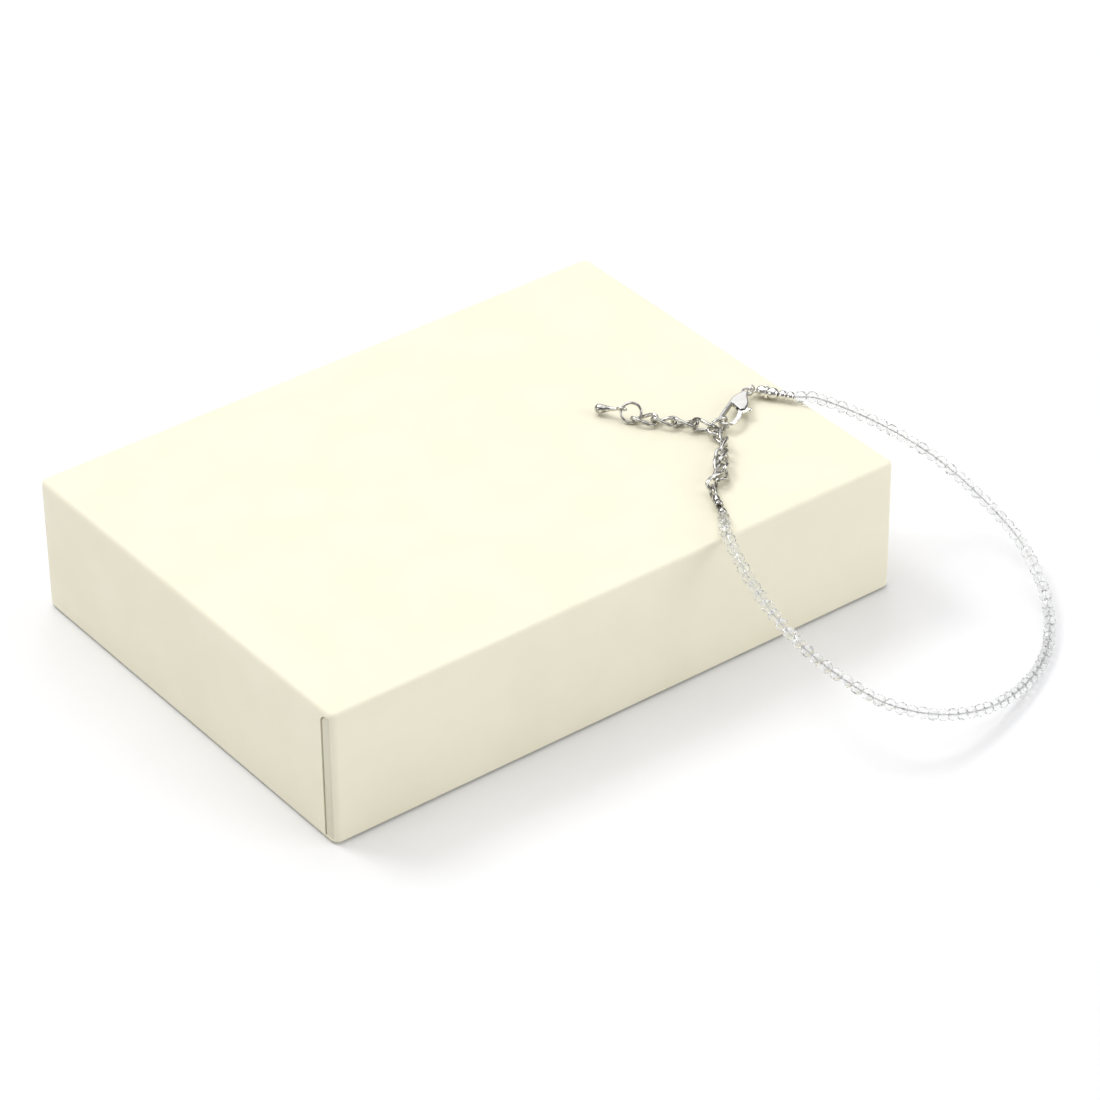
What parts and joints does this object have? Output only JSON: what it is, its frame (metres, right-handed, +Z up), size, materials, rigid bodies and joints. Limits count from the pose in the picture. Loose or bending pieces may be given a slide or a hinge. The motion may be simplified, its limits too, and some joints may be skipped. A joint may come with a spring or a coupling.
{
  "type": "payal anklet with its gift box",
  "caption": "Beaded anklet with a lobster clasp, extension chain and drop, laid on a lift-off lid box and hanging over its side.",
  "frame": {"origin": "centre of the box's underside, where it stands on the table", "axes": "+X along the box's long side, +Y away from the side the beads hang over, +Z up"},
  "size_m": [0.1506, 0.1373, 0.0317],
  "materials": {
    "box_paper": "smooth cream wrapping paper over board",
    "crystal": "clear, cut and polished",
    "silver": "polished silver plate",
    "satin_silver": "satin silver plate"
  },
  "bodies": {
    "boxed_anklet": {"box_tray": "box_paper", "box_lid": "box_paper", "bead_string": "crystal", "crimp_clasp_inner": "silver", "crimp_clasp_outer": "silver", "crimp_chain_inner": "silver", "crimp_chain_outer": "silver", "bead_tip": "silver", "clasp_ring": "silver", "clasp_body": "satin_silver", "chain_link_1": "silver", "chain_link_2": "silver", "chain_link_3": "silver", "chain_link_4": "silver", "chain_link_5": "silver", "chain_link_6": "silver", "chain_link_7": "silver", "chain_link_8": "silver", "chain_link_9": "silver", "chain_link_10": "silver", "chain_link_11": "silver", "chain_end": "silver", "end_ring": "silver", "drop": "silver"},
    "lever": {"clasp_lever": "silver"}
  },
  "joints": [
    {"name": "clasp_lever_pivot", "type": "hinge", "parent": "boxed_anklet", "child": "lever", "pos_m": [0.05108, -0.01714, 0.02993], "axis": [-0.0089, -0.0046, 0.9999], "range_deg": [0, 20]}
  ]
}
